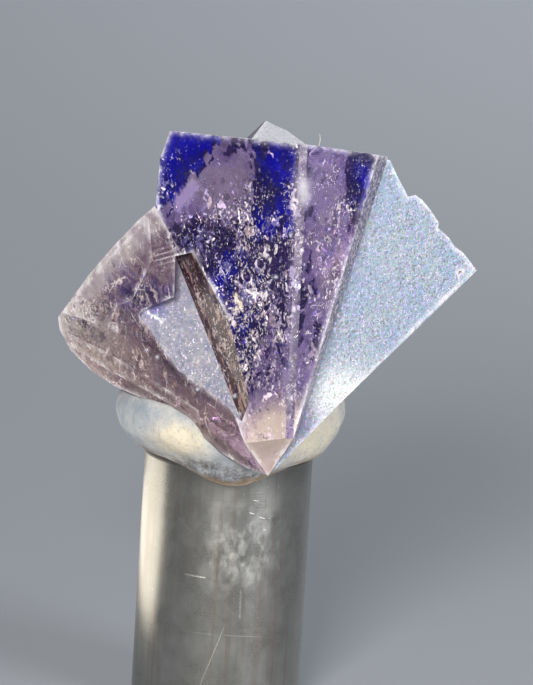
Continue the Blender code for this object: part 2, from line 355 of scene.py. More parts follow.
# The putty: a lump of soft white mounting putty. It is pressed on the rod's top, squeezed out past
# its rim, and the crystals are sunk in it, so it is dented exactly as they are.
putty_rings = np.array([
    (2.50, 0.05), (4.30, 0.05), (4.62, 0.22), (4.90, 0.55), (5.18, 0.95), (5.36, 1.40),
    (5.42, 1.85), (5.34, 2.30), (5.00, 2.75), (4.30, 3.05), (3.20, 3.2), (1.60, 3.3),
])


def smooth_rings(rings, steps):
    """Rings of a profile with smooth ones between them, on a cubic curve through all."""
    held = np.vstack([rings[:1], rings, rings[-1:]])
    share = np.linspace(0.0, 1.0, steps, endpoint=False)[:, None]
    parts = []
    for a, b, c, d in zip(held, held[1:], held[2:], held[3:]):
        parts.append(
            b + 0.5 * share * (c - a)
            + share ** 2 * (a - 2.5 * b + 2.0 * c - 0.5 * d)
            + share ** 3 * (-0.5 * a + 1.5 * b - 1.5 * c + 0.5 * d)
        )
    return np.vstack(parts + [rings[-1:]])


def putty_skin(rings, around):
    """Skin of the putty: each ring is round, fuller on the left, drooping under the group's tip.

    Waves round the lump and a few pressed dents, each a bell curve, are added to its radius."""
    angle = np.linspace(0.0, 2.0 * pi, around, endpoint=False)[None, :]
    ring_radius, up = rings[:, :1], rings[:, 1:]
    from_tip = ((angle + pi / 2 - 0.05 + pi) % (2.0 * pi) - pi) / 0.45
    droop = np.exp(-from_tip ** 2) * np.maximum(0.0, 1.0 - up / 3.2)
    waves = np.sin(3.0 * angle + 0.7) + 0.8 * np.sin(5.0 * angle + 2.1) + 0.6 * np.sin(8.0 * angle + up)
    lumps = 0.05 * waves
    fine = 0.016 * np.sin(17.0 * angle + 2.3 * up) * np.sin(2.9 * up + 0.6)
    fine = fine + 0.010 * np.sin(31.0 * angle + 5.0 * up)
    fuller = -0.22 * np.cos(angle) * np.maximum(0.0, np.sin(pi * up / 2.4))
    share = np.minimum(1.0, ring_radius / 8.0)
    radius = ring_radius + (fuller + 0.45 * droop + lumps + 2.0 * fine) * share
    for turn, level, wide, tall, deep in (
        (-2.75, 1.5, 0.20, 0.50, 0.13), (-2.25, 0.8, 0.16, 0.35, 0.10), (-1.95, 1.9, 0.10, 0.30, 0.08),
        (-0.75, 1.3, 0.22, 0.45, 0.12), (-0.35, 2.1, 0.12, 0.35, 0.10), (0.9, 1.4, 0.30, 0.60, 0.15),
        (2.2, 1.6, 0.28, 0.50, 0.14), (3.0, 0.9, 0.16, 0.40, 0.10),
    ):
        across = (angle - turn + pi) % (2.0 * pi) - pi
        radius = radius - deep * np.exp(-((across / wide) ** 2) - ((up - level) / tall) ** 2)
    height = rod_height + up - 0.95 * droop + 0.5 * lumps * share
    return np.stack([radius * np.cos(angle), radius * np.sin(angle), height], axis=-1)


putty = grid_mesh(
    "putty_lump", putty_skin(smooth_rings(putty_rings, 5), 260),
    (0.0, 0.0, rod_height), (0.0, 0.0, rod_height + 3.2),
)


def press_into(target, mesh, spare):
    """Dents the target with a solid that is larger by spare about its middle, then drops the tool."""
    flat = np.empty(len(mesh.vertices) * 3)
    mesh.vertices.foreach_get("co", flat)
    corners = flat.reshape(-1, 3)
    middle = 0.5 * (corners.min(axis=0) + corners.max(axis=0))
    mesh.vertices.foreach_set("co", (middle + (corners - middle) * (1.0 + spare)).ravel())
    tool = bpy.data.objects.new("pressing_tool", mesh)
    bpy.context.scene.collection.objects.link(tool)
    press = target.modifiers.new("press", "BOOLEAN")
    press.operation = "DIFFERENCE"
    press.solver = "EXACT"
    press.object = tool
    bpy.context.view_layer.update()
    graph = bpy.context.evaluated_depsgraph_get()
    pressed = bpy.data.meshes.new_from_object(target.evaluated_get(graph))
    target.modifiers.clear()
    target.data = pressed
    bpy.data.objects.remove(tool)


press_into(putty, merged_copy("fluorite_crystals", "crystal_press"), 0.004)
press_into(putty, rod.data.copy(), 0.002)
putty.data.materials.clear()
putty.data.shade_smooth()
putty.data.set_sharp_from_angle(angle=radians(40.0))


def white_putty():
    """Soft putty: bluish white, a painted cream highlight where the light falls, grime and painted shade low
    on the lump, brown at its lower rim, specks.
    """
    finish, tree, shader = new_finish("soft_white_putty")
    place = in_millimetres(tree)
    x, y, z = add(tree, "SeparateXYZ", {0: place}).outputs
    cloud = noise(place, 0.55, 6.0, roughness=0.6)
    blotch = noise(place, 1.6, 5.0, roughness=0.65)
    grain = noise(place, 6.5, 4.0, roughness=0.7)
    clean = ramp(cloud, [(0.34, (0.30, 0.36, 0.44)), (0.5, (0.47, 0.51, 0.56)), (0.64, (0.64, 0.64, 0.62))])
    # painted highlight: cream patches where the light falls on the lump, on its left front and on its right
    painted_cream_highlight = spots((x, z), (-2.3, 13.7, 1.2, 0.8, 1.7), (3.8, 13.9, 1.8, 2.0, 1.3))
    painted_cream_highlight = sums("MINIMUM", times(painted_cream_highlight, total(0.85, about(blotch, 1.8))), 1.0)
    # grime and painted shade: darker grey low on the lump, just above the rod's top
    grime_and_painted_shade = spots((x, z), (-1.2, 12.3, 2.4, 0.8, 1.1), (1.0, 11.9, 1.2, 0.5, 0.8))
    grime_and_painted_shade = times(grime_and_painted_shade, between(total(blotch, about(grain, 0.8)), 0.30, 0.62))
    front = between(y, -2.8, -3.8)
    rim = between(total(z, about(grain, 0.5)), 12.80, 12.50)
    sag = total(z, about(grain, 0.3), times(sums("ABSOLUTE", x, 0.0), -0.22))
    sag = times(between(sag, 11.92, 11.72), front)
    rim = greatest(times(rim, sums("SUBTRACT", 1.0, front)), sag)
    crumbs = voronoi(place, 1.5)
    chosen = between(channels(crumbs["Color"])[0], 0.35, 0.40)
    dust = times(between(voronoi(place, 4.5)["Distance"], 0.10, 0.06), 0.55)
    speck = greatest(times(between(crumbs["Distance"], 0.075, 0.045), chosen), dust)
    body = layered(
        clean, (painted_cream_highlight, (0.86, 0.77, 0.60)), (grime_and_painted_shade, (0.15, 0.135, 0.13)),
        (times(between(grain, 0.48, 0.34), 0.35), (0.22, 0.22, 0.24)),
        (times(rim, 0.7), (0.26, 0.17, 0.09)), (times(speck, 0.8), (0.09, 0.075, 0.06)),
    )
    relief = weighted((cloud, 0.6), (blotch, 0.5), (grain, 0.42), (speck, -0.3))
    wire_up(
        shader, Base_Color=body, Normal=bumped(relief, 0.7, 0.00018),
        Roughness=ramp(blotch, [(0.3, grey(0.40)), (0.7, grey(0.62))]),
        Subsurface_Weight=0.2, Subsurface_Radius=(1.0, 0.9, 0.8), Subsurface_Scale=0.0005,
    )
    return finish


putty.data.materials.append(white_putty())
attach(putty, "root")
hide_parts("mounting_putty")


# The crystals: violet fluorite grown together in one body. Each natural face is laid out again as a
# fine skin of small facets, so growth hillocks, striations and cleavage steps are real relief.
host_turn = Euler([radians(angle) for angle in (-32.2, -6.3, -10.4)], "XYZ").to_matrix()
left_face = np.array((host_turn @ Vector((-1, -1, -1))).normalized())
right_face = np.array((host_turn @ Vector((1, -1, -1))).normalized())
blue_face = np.array((-0.4925, -0.8656, -0.0900))
mauve_face = np.array((0.5190, -0.8440, -0.1360))
notch_floor = np.array((-0.5190, -0.8550, 0.0120))
blue_distance, mauve_distance, left_distance = 6.33, 7.52, 10.1 / sqrt(3.0)
edge_step = 0.18
rng = np.random.default_rng(17)


def edge_distance(points, corners, chosen=None):
    """Distance from each flat point to the nearest side, or chosen side, of a closed outline."""
    start, end = corners, np.roll(corners, -1, axis=0)
    if chosen is not None:
        if not chosen.any():
            return np.full(len(points), 9.0)
        start, end = start[chosen], end[chosen]
    along = end - start
    length = np.maximum((along ** 2).sum(axis=1), 1e-12)
    offset = points[:, None, :] - start[None, :, :]
    share = np.clip((offset * along[None]).sum(axis=2) / length[None], 0.0, 1.0)
    gap = offset - share[..., None] * along[None]
    return np.sqrt((gap ** 2).sum(axis=2).min(axis=1))


def faceted_face(corners, sharp, normal, spacing, relief):
    """One crystal face as small facets: returns its points, facets and how near each point is to a sharp
    edge, for edge wear and a painted edge highlight.

    Points on a shaken triangular grid inside the outline are joined by even triangles, and each
    is raised along the normal by relief, faded out towards the edges so that the skin stays shut.
    Edge wear and the painted edge highlight follow a bell curve of the distance to the nearest sharp edge."""
    first = corners[1] - corners[0]
    first = first / np.linalg.norm(first)
    second = np.cross(normal, first)
    flat = np.stack([(corners - corners[0]) @ first, (corners - corners[0]) @ second], axis=1)
    low, high = flat.min(axis=0), flat.max(axis=0)
    down = spacing * sqrt(0.75)
    rows = np.arange(low[1], high[1], down)
    columns = np.arange(low[0], high[0] + spacing, spacing)
    b, a = np.meshgrid(rows, columns, indexing="ij")
    a = a + 0.5 * spacing * (np.arange(len(rows)) % 2)[:, None]
    inner = np.stack([a.ravel(), b.ravel()], axis=1)
    inner = inner + rng.uniform(-0.22, 0.22, inner.shape) * spacing
    if len(inner):
        inner = inner[edge_distance(inner, flat) > 0.5 * spacing]
    ring = len(flat)
    everything = [Vector(p) for p in np.vstack([flat, inner]).tolist()]
    points, _, facets, source, _, _ = delaunay_2d_cdt(everything, [], [list(range(ring))], 1, 1e-6)
    points = np.array([(p.x, p.y) for p in points])
    source = np.array([came[0] if came else ring for came in source])
    reach = edge_distance(points, flat)
    solid = corners[0] + points[:, :1] * first + points[:, 1:] * second
    fade = np.clip(reach / (1.6 * spacing), 0.0, 1.0)
    solid = solid + (relief(solid) * fade * fade * (3.0 - 2.0 * fade))[:, None] * normal
    solid[source < ring] = corners[source[source < ring]]
    edge_wear_and_highlight = np.exp(-(edge_distance(points, flat, sharp) / 0.15) ** 2)
    used, again = np.unique(np.array(facets), return_inverse=True)
    return solid[used], again.reshape(-1, 3), edge_wear_and_highlight[used]


def ripple(points, direction, pitch, phase):
    """Wave of height 1 along a direction."""
    return np.sin(2.0 * pi * (points @ np.array(direction)) / pitch + phase)


def glassy_relief(points):
    """Faint growth waves and shallow flat-bottomed patches of a natural bright face."""
    patches = ripple(points, (0.8, 0.1, 0.6), 2.3, 0.4) + ripple(points, (-0.5, 0.3, 0.8), 1.7, 1.9)
    return 0.006 * np.round(1.5 * patches)


def striated_relief(points):
    """Steps parallel to the left wing's lower edge: a sawtooth across it, its pitch slowly changing."""
    across = points @ np.array((0.56, 0.0, 0.83))
    phase = across / 0.62 + 0.35 * ripple(points, (0.1, 0.0, 0.3), 6.0, 0.0)
    return 0.030 * (phase % 1.0) + 0.004 * rng.standard_normal(len(points))


def frosted_relief(points):
    """Close-set growth hillocks: short crossed waves, and a random height for every point."""
    waves = ripple(points, (1.0, 0.0, 0.3), 0.9, 0.0) * ripple(points, (-0.3, 0.1, 1.0), 0.75, 1.0)
    return 0.004 * waves + 0.006 * rng.standard_normal(len(points))


def broken_relief(points):
    """Uneven break: three faint crossed waves and a random height for every point."""
    waves = ripple(points, (0.9, 0.2, 0.4), 1.3, 0.2) + ripple(points, (-0.4, 0.9, 0.5), 0.8, 1.2)
    waves = waves + ripple(points, (0.2, -0.5, 0.9), 0.55, 2.2)
    return 0.003 * waves + 0.009 * rng.standard_normal(len(points))


def crystal_skin(name, kinds):
    """Closed skin of the whole group, face by face.

    Every edge of the plan is cut in equal steps shared by its two faces, each face is filled with
    facets, and a face takes the first kind whose direction it has: (direction, cosine, spacing,
    relief, frost, zone)."""
    plan = bmesh.new()
    plan.from_mesh(merged_copy("fluorite_crystals", "crystal_plan"))
    plan.edges.ensure_lookup_table()
    corners = {v.index: to_group(np.array(v.co) / MM) for v in plan.verts}
    cuts = {}
    for edge in plan.edges:
        start, end = sorted(v.index for v in edge.verts)
        length = np.linalg.norm(corners[end] - corners[start])
        share = np.linspace(0.0, 1.0, max(1, round(length / edge_step)), endpoint=False)[:, None]
        cuts[start, end] = np.vstack([corners[start] + share * (corners[end] - corners[start]), corners[end]])
    points, facets, frost, zone, wear_and_edge_highlight = [], [], [], [], []
    count = 0
    for face in plan.faces:
        ring, sharp = [], []
        for loop in face.loops:
            here, after = loop.vert.index, loop.link_loop_next.vert.index
            walk = cuts[min(here, after), max(here, after)]
            ring.append(walk[:-1] if here < after else walk[:0:-1])
            sharp.append(np.full(len(walk) - 1, loop.edge.calc_face_angle_signed(1.0) > 0.7))
        normal = np.array(face.normal) @ turn_array
        for direction, cosine, spacing, relief, frosting, region in kinds:
            if normal @ direction > cosine:
                break
        solid, cells, edge_wear_and_highlight = faceted_face(np.vstack(ring), np.concatenate(sharp), normal, spacing, relief)
        points.append(solid)
        facets.append(cells + count)
        count += len(solid)
        frost.append(np.full(len(cells), frosting))
        zone.append(np.full(len(cells), region))
        wear_and_edge_highlight.append(edge_wear_and_highlight)
    plan.free()
    mesh = bpy.data.meshes.new(name)
    mesh.from_pydata((from_group(np.vstack(points)) * MM).tolist(), [], np.vstack(facets).tolist())
    for label, domain, values in (
        ("frost", "FACE", np.concatenate(frost)), ("zone", "FACE", np.concatenate(zone)),
        ("wear_and_edge_highlight", "POINT", np.concatenate(wear_and_edge_highlight)),
    ):
        mesh.attributes.new(label, "FLOAT", domain).data.foreach_set("value", values.astype(np.float32))
    skin = bmesh.new()
    skin.from_mesh(mesh)
    bmesh.ops.remove_doubles(skin, verts=skin.verts, dist=1.5e-6)
    bmesh.ops.recalc_face_normals(skin, faces=skin.faces)
    skin.to_mesh(mesh)
    skin.free()
    return placed(name, mesh)


BLUE, MAUVE, RIDGE, SIDE, LEFT, NOTCH, RIGHT, TOP, TIP, BACK = (0.1 * step for step in range(10))
face_kinds = [
    (right_face, 0.9995, 0.15, frosted_relief, 1.0, RIGHT),
    (left_face, 0.9995, 0.20, striated_relief, 0.10, LEFT),
    (blue_face, 0.9990, 0.20, glassy_relief, 0.04, BLUE),
    (mauve_face, 0.9990, 0.20, glassy_relief, 0.08, MAUVE),
    (notch_floor, 0.9990, 0.15, frosted_relief, 0.9, NOTCH),
    ((0.023, -0.991, -0.132), 0.995, 0.12, frosted_relief, 0.12, RIDGE),
    ((-0.20, -0.78, -0.59), 0.96, 0.16, glassy_relief, 0.45, TIP),
    ((-0.93, -0.28, -0.23), 0.96, 0.18, glassy_relief, 0.06, SIDE),
    ((0.94, -0.15, -0.29), 0.97, 0.18, glassy_relief, 0.05, SIDE),
    ((0.0, 0.0, 1.0), 0.9, 0.16, broken_relief, 0.7, TOP),
    ((-0.683, -0.059, 0.728), 0.999, 0.20, frosted_relief, 0.75, TOP),
    ((0.446, -0.266, 0.855), 0.999, 0.20, frosted_relief, 0.75, TOP),
    ((0.0, 0.0, 0.0), -1.0, 0.24, broken_relief, 0.35, BACK),
]
crystals = crystal_skin("fluorite_group", face_kinds)


def fluorite_finish():
    """See-through fluorite: violet all through, cobalt and mauve zones, frosted and bright faces."""
    finish, tree, shader = new_finish("violet_fluorite")
    place = add(tree, "TexCoord").outputs["Object"]
    back = group_turn.transposed()
    grouped = add(tree, "Mapping", {
        "Vector": place, "Location": back @ (-group_centre), "Rotation": back.to_euler("XYZ"),
        "Scale": (1000.0, 1000.0, 1000.0),
    }).outputs[0]
    x, y, z = add(tree, "SeparateXYZ", {0: grouped}).outputs
    at = x, z
    frost, zone, wear_and_edge_highlight = (
        add(tree, "Attribute", attribute_name=name).outputs["Fac"] for name in ("frost", "zone", "wear_and_edge_highlight")
    )

    def on(region):
        """1 on the faces of one region and 0 elsewhere."""
        return add(tree, "Math", {0: zone, 1: region, 2: 0.04}, operation="COMPARE").outputs[0]

    def shards(place, scale):
        """Three random values for each of many angular patches."""
        return voronoi(place, scale, distance="CHEBYCHEV")["Color"]

    on_block, on_front = between(zone, 0.16, 0.14), between(zone, 0.26, 0.24)
    on_side, on_left = on(SIDE), on(LEFT)
    wires = {"Vector": grouped, "Rotation": (0.3, 0.5, 0.35), "Scale": (1.0, 1.0, 0.55)}
    slanted = add(tree, "Mapping", wires).outputs[0]
    cloud, broken, fine = noise(grouped, 0.55, 3.0), noise(grouped, 1.8, 3.0), noise(grouped, 6.0, 3.0)
    patch, chips = channels(shards(slanted, 1.0))[0], channels(shards(slanted, 3.2))[1]

    # the block: cobalt at its upper left and right corners and down its middle, mauve between
    slope = total(z, times(x, -1.25), about(chips, 0.8))
    shaken = total(x, about(chips, 0.35))
    column = times(between(shaken, -0.75, -0.55), between(shaken, 1.5, 1.35), between(z, 2.2, 2.9))
    blue = total(0.42, weighted((between(slope, 9.7, 10.0), 0.6), (column, 0.42)), spots(
        at, (4.6, 5.0, 1.0, 1.9, 0.58), (-2.2, 1.0, 2.2, 2.6, 0.42), (-1.0, -2.2, 1.4, 2.6, 0.14),
        (-2.3, 5.0, 1.7, 1.4, -0.72), (2.9, 2.0, 0.9, 4.5, -0.40), (1.0, -5.8, 2.2, 1.8, -0.60),
    ), about(patch, 0.30), about(chips, 0.24), about(cloud, 0.5))
    block = ramp(blue, [
        (0.0, (0.64, 0.50, 0.78)), (0.25, (0.57, 0.43, 0.92)), (0.41, (0.43, 0.31, 0.84)),
        (0.44, (0.045, 0.028, 0.20)), (0.74, (0.010, 0.009, 0.20)), (1.0, (0.004, 0.004, 0.58)),
    ])

    # the left wing: mauve, a violet patch, warmer below, a dark band beside the notch, a pale rim
    wing = total(0.26, about(cloud, 0.6), about(patch, 0.25), about(chips, 0.22), spots(
        at, (-5.7, -0.1, 1.6, 0.9, 0.60), (-8.2, -2.4, 2.2, 1.4, -0.25), (-9.0, -1.0, 1.2, 1.6, -0.25),
    ))
    wing = ramp(wing, [
        (0.0, (0.86, 0.74, 0.70)), (0.22, (0.74, 0.54, 0.58)), (0.42, (0.52, 0.34, 0.47)),
        (0.60, (0.22, 0.12, 0.46)), (0.9, (0.06, 0.04, 0.18)),
    ])
    warm = times(spots(at, (-7.2, -3.0, 2.8, 1.5, 0.75), (-4.2, -6.0, 3.0, 1.3, 0.95)), on_left)
    band = stroke(at, (-5.9, -2.0), (-2.0, -5.2), 0.75, False)
    band = times(band, spot(at, -3.9, -3.5, 2.6, 2.4), on_left)
    rim = times(stroke(at, (-9.73, -0.76), (-5.04, 4.02), 1.3, False), on_left, total(0.35, broken))
    wing = layered(
        wing, (warm, (0.84, 0.62, 0.50)), (band, (0.07, 0.025, 0.055)),
        (times(rim, 0.65), (0.80, 0.77, 0.79)),
    )

    # the other faces: brown and violet narrow sides, silvery right wing with a painted flare, frosted notch
    # with a painted blue glow, pale top, peach tip, and a painted highlight on the ridge
    side = ramp(total(chips, about(cloud, 0.8)), [
        (0.15, (0.13, 0.07, 0.06)), (0.5, (0.045, 0.02, 0.03)), (0.8, (0.09, 0.04, 0.06)),
        (0.92, (0.58, 0.38, 0.30)),
    ])
    glassed = ramp(fine, [
        (0.40, (0.05, 0.035, 0.12)), (0.52, (0.26, 0.20, 0.34)), (0.62, (0.86, 0.74, 0.74)),
    ])
    side = blend_colour(between(x, 0.0, 0.5), side, glassed)
    silver = ramp(fine, [(0.3, (0.26, 0.33, 0.45)), (0.5, (0.36, 0.43, 0.54)), (0.7, (0.56, 0.58, 0.64))])
    # painted highlight: a bright flare low on the right wing, where the frosted face glitters hardest
    painted_flare = times(spots(at, (3.5, -4.5, 1.3, 1.1, 0.9), (2.6, -5.3, 0.8, 0.9, 0.4)), total(0.5, fine))
    silver = layered(
        silver, (times(between(cloud, 0.46, 0.60), 0.5), (0.27, 0.38, 0.58)),
        (spot(at, 1.8, -5.9, 1.1, 1.1, 0.95), (0.20, 0.20, 0.36)), (painted_flare, (0.95, 0.96, 0.96)),
    )
    frozen = ramp(weighted((fine, 0.5), (broken, 0.5)), [
        (0.36, (0.35, 0.37, 0.54)), (0.48, (0.51, 0.52, 0.64)), (0.62, (0.74, 0.71, 0.76)),
    ])
    # painted glow: a blue patch at the notch floor's upper left, standing in for the blue zone reflected
    # there
    frozen = blend_colour(spot(at, -5.4, -0.7, 0.7, 0.5, 0.7), frozen, (0.20, 0.18, 0.62))
    pale = ramp(fine, [(0.3, (0.36, 0.36, 0.44)), (0.7, (0.56, 0.56, 0.62))])
    peach = ramp(total(cloud, about(chips, 0.3)), [
        (0.3, (0.98, 0.82, 0.66)), (0.6, (0.90, 0.72, 0.60)), (0.78, (0.52, 0.36, 0.38)),
    ])
    lilac = ramp(fine, [(0.36, (0.26, 0.20, 0.44)), (0.6, (0.60, 0.54, 0.72))])
    low = times(between(spot(at, 0.6, -6.9, 2.6, 2.2), 0.25, 0.75), on_block)
    # painted highlight: a bright spot high on the ridge, merged below into the ridge's frosted sheen
    painted_ridge_highlight = times(spot(at, 1.7, 4.8, 0.36, 0.8, 1.3), on_front, total(0.4, broken))
    sheen = times(on(RIDGE), between(broken, 0.44, 0.62), 0.55)
    sheen = greatest(sheen, sums("MINIMUM", painted_ridge_highlight, 1.0))
    streaks = times(between(noise(slanted, 1.0, 3.0, (7.0, 7.0, 0.4)), 0.58, 0.70), on(RIGHT), 0.4)
    body = layered(
        blend_colour(on_block, wing, block), (low, peach), (on_side, side), (on(RIDGE), lilac),
        (sheen, (0.92, 0.90, 0.96)), (on(TOP), pale), (on(TIP), peach), (on(RIGHT), silver),
        (on(NOTCH), frozen), (streaks, (0.86, 0.88, 0.92)),
    )

    # cracks seen through the faces: warped angular cells along the cleavage, some of them painted bright as
    # glints and others dark, with painted highlights as bright points and broken crack lines among them where
    # the cracks crowd
    drift = add(tree, "TexNoise", {"Vector": grouped, "Scale": 2.2, "Detail": 1.0}).outputs["Color"]
    warped = vector_step("ADD", grouped, vector_step("SCALE", drift, scale=0.55))
    wires = {"Vector": warped, "Rotation": (0.0, -0.45, 0.0), "Scale": (1.0, 1.0, 0.38)}
    warped = add(tree, "Mapping", wires).outputs[0]
    splinters = blend_colour(between(broken, 0.50, 0.505), shards(warped, 3.0), shards(warped, 7.0))
    red, green, blue_share = channels(splinters)
    crowd = total(noise(grouped, 0.9, 3.0), times(on_left, -0.10), spots(
        at, (-1.0, 2.9, 2.0, 2.0, 0.20), (-0.6, -1.4, 1.8, 2.8, 0.26), (3.2, 0.5, 1.0, 2.6, 0.16),
        (-3.6, 5.6, 1.6, 1.0, -0.15), (-1.8, 6.2, 1.6, 1.2, -0.3), (-5.6, -0.3, 1.5, 0.9, 0.24),
        (-8.8, -0.9, 1.2, 0.9, 0.30), (-6.6, -3.4, 1.9, 1.0, 0.18),
    ))
    glassy = between(frost, 0.4, 0.3)
    # painted glints: the chosen crack cells take the pale flash colours, besides leaning to catch the lamps
    glint = times(between(total(red, times(crowd, 0.75)), 1.27, 1.31), glassy)
    flash = ramp(green, [
        (0.0, (0.92, 0.86, 0.88)), (0.10, (0.80, 0.62, 0.60)), (0.24, (0.46, 0.35, 0.52)),
        (0.5, (0.24, 0.19, 0.44)), (0.8, (0.14, 0.13, 0.44)), (1.0, (0.46, 0.40, 0.62)),
    ])
    flash = layered(
        flash, (times(greatest(on_left, on_side), 0.7), (0.82, 0.62, 0.54)),
        (times(between(z, 0.5, -2.5), 0.5), (0.84, 0.62, 0.56)),
    )
    flash = blend_colour(1.0, flash, ramp(fine, [(0.36, grey(0.35)), (0.6, grey(1.0))]), "MULTIPLY")
    gloom = times(between(blue_share, 0.80, 0.84), between(crowd, 0.5, 0.6), glassy, 0.6)
    # painted highlights: tiny bright points where the cracks crowd, later joined by the broken crack lines
    sparks = noise(warped, 1.0, 2.0, (13.0, 13.0, 11.0))
    sparks = times(between(total(sparks, times(crowd, 0.30)), 0.82, 0.86), glassy)
    rifts = between(voronoi(warped, 2.4, feature="DISTANCE_TO_EDGE")["Distance"], 0.075, 0.035)
    rifts = times(rifts, between(total(fine, times(crowd, 0.5)), 0.86, 0.92), glassy, 0.72)
    sparks = greatest(sparks, rifts)
    line = between(voronoi(slanted, 1.3, feature="DISTANCE_TO_EDGE")["Distance"], 0.022, 0.010)
    line = times(line, between(broken, 0.52, 0.58), on_left)
    # pale edges: wear, and a painted highlight along the sharp edges where bevels would catch the light
    worn_edge_and_painted_highlight = times(wear_and_edge_highlight, ramp(broken, [(0.35, grey(0.15)), (0.6, grey(0.95))]))
    body = layered(
        body, (times(glint, 0.8), flash), (gloom, (0.05, 0.035, 0.10)),
        (times(sparks, 0.9), (0.97, 0.88, 0.88)), (times(line, 0.6), (0.84, 0.72, 0.72)),
        (worn_edge_and_painted_highlight, (0.84, 0.80, 0.84)),
    )

    # single marks on the front: the ragged crest of the ridge, a lilac patch, a peach flake, bright shards, a
    # painted highlight streak by the notch, a dark chip, dots and fine steps
    front = between(y, -0.6, -1.0)
    wires = {"Vector": grouped, "Scale": 4.5, "Detail": 4.0, "Roughness": 0.7}
    shake = channels(add(tree, "TexNoise", wires).outputs["Color"])
    jagged = total(x, about(shake[0], 0.9)), total(z, about(shake[1], 0.9))
    crest = stroke(jagged, (1.54, 6.8), (0.92, -5.0), 0.36, False)
    crest = times(crest, between(z, -6.2, -4.8), on_front, 0.30)
    marks = [(times(stroke(jagged, *ends, wide), front), colour) for *ends, wide, colour in (
        ((-3.3, 5.2), (-4.4, 3.9), 0.42, (0.34, 0.26, 0.50)),
        ((-1.55, 0.0), (-1.22, -0.85), 0.24, (0.97, 0.82, 0.68)),
        ((-1.1, 0.15), (0.1, -0.10), 0.12, (0.82, 0.76, 0.80)),
        ((-0.75, 0.55), (-0.55, -0.55), 0.09, (0.78, 0.70, 0.76)),
        # painted highlight: a white streak at the notch floor's upper left
        ((-5.94, -0.71), (-4.76, -1.37), 0.15, (0.94, 0.96, 1.00)),
        ((-8.5, -1.15), (-7.85, -1.5), 0.20, (0.03, 0.03, 0.06)),
        ((-7.4, 0.35), (-6.6, 0.85), 0.09, (0.86, 0.74, 0.72)),
        ((-6.9, 1.1), (-5.7, 0.75), 0.10, (0.16, 0.10, 0.26)),
    )]
    dots = times(greatest(0.0, *(spot(at, *dot, 0.09, 0.09) for dot in (
        (0.40, 0.76), (-5.66, -2.65), (-5.2, -2.98), (-3.3, -4.5), (-1.54, -4.8), (-1.3, -5.63),
    ))), front)
    steps = sums("SINE", weighted((z, 26.0), (x, -7.0)), 0.0)
    steps = times(between(steps, 0.3, 0.8), spot(at, -4.8, 1.75, 0.65, 0.42, 0.9), front)
    frosted = between(frost, 0.82, 0.95)
    grains = voronoi(grouped, 14.0)
    body = layered(
        body, (crest, (0.74, 0.68, 0.82)), *marks, (dots, (0.84, 0.87, 0.93)), (steps, (0.90, 0.84, 0.84)),
        (times(frosted, 0.18), grains["Color"]),
    )
    marked = greatest(times(crest, 0.7), *(share for share, colour in marks), dots)

    # frosted faces glitter: every grain leans its own way, and about a third of them are mirror bright
    bright = times(between(channels(grains["Color"])[0], 0.66, 0.70), frosted, 0.6)
    lean = vector_step("SUBTRACT", grains["Color"], (0.5, 0.5, 0.5))
    lean = vector_step("SCALE", lean, scale=times(between(frost, 0.3, 1.0), 0.55))
    tip = vector_step("SUBTRACT", splinters, (0.5, 0.5, 0.5))
    lean = vector_step("ADD", lean, vector_step("SCALE", tip, scale=times(glint, 0.6)))
    pits = times(grains["Distance"], total(frost, 0.06))
    relief = total(pits, weighted((fine, 0.15), (line, -0.5)))
    facing = vector_step("NORMALIZE", vector_step("ADD", bumped(relief, 0.6, 0.00003), lean))

    misted = greatest(frost, times(rim, 0.6), times(sheen, 0.5), times(low, 0.5))
    deep, milky = times(between(blue, 0.62, 1.0), on_block), times(between(blue, 0.42, 0.15), on_block)
    dulled = weighted(
        (misted, 0.72), (worn_edge_and_painted_highlight, 0.55), (line, 0.45), (deep, 0.22), (glint, 0.5), (marked, 0.6), (steps, 0.4),
        (on_side, 0.55), (sparks, 0.5), (milky, 0.06),
    )
    wire_up(
        shader, Base_Color=body, Normal=facing, IOR=1.434, Metallic=total(bright, times(glint, 0.3)),
        Roughness=weighted((misted, 0.40), (worn_edge_and_painted_highlight, 0.25), (fine, 0.06), (line, 0.3), (glint, 0.28)),
        Specular_IOR_Level=total(0.5, times(on_side, -0.42)),
        Transmission_Weight=sums("SUBTRACT", 0.96, dulled, True),
    )
    depth = add(tree, "VolumeAbsorption", {"Color": (0.76, 0.68, 0.80, 1.0), "Density": 100.0})
    wire_up(tree.nodes["Material Output"], Volume=depth.outputs[0])
    return finish


crystals.data.materials.append(fluorite_finish())
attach(crystals, "root")
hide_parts("fluorite_crystals")


# The inner cracks: fluorite cleaves along its octahedron faces, and this group is full of small
# cleavage cracks that catch the light as white, pink and peach flakes just under its faces.
def solid_corners():
    """The group's plan as triangles: an array of (triangle, corner, coordinate), in its own frame."""
    plan = merged_copy("fluorite_crystals", "crack_limits")
    plan.calc_loop_triangles()
    corners = np.empty(len(plan.vertices) * 3)
    plan.vertices.foreach_get("co", corners)
    index = np.empty(len(plan.loop_triangles) * 3, dtype=np.int32)
    plan.loop_triangles.foreach_get("vertices", index)
    return to_group(corners.reshape(-1, 3) / MM)[index.reshape(-1, 3)]


group_triangles = solid_corners()


def within_group(points):
    """True for each point inside the crystals: the solid angles of all triangles seen from it are
    added, which gives a whole turn of the sphere inside and nothing outside."""
    inside = []
    for few in np.array_split(points, max(1, len(points) // 1500)):
        a, b, c = (group_triangles[None, :, k] - few[:, None] for k in range(3))
        la, lb, lc = (np.linalg.norm(v, axis=2) for v in (a, b, c))
        top = (a * np.cross(b, c)).sum(axis=2)
        low = la * lb * lc + (a * b).sum(axis=2) * lc + (b * c).sum(axis=2) * la + (c * a).sum(axis=2) * lb
        inside.append(np.abs(2.0 * np.arctan2(top, low).sum(axis=1)) > 2.0 * pi)
    return np.concatenate(inside)


ring_corners = 7
slivers_in_fan = 9


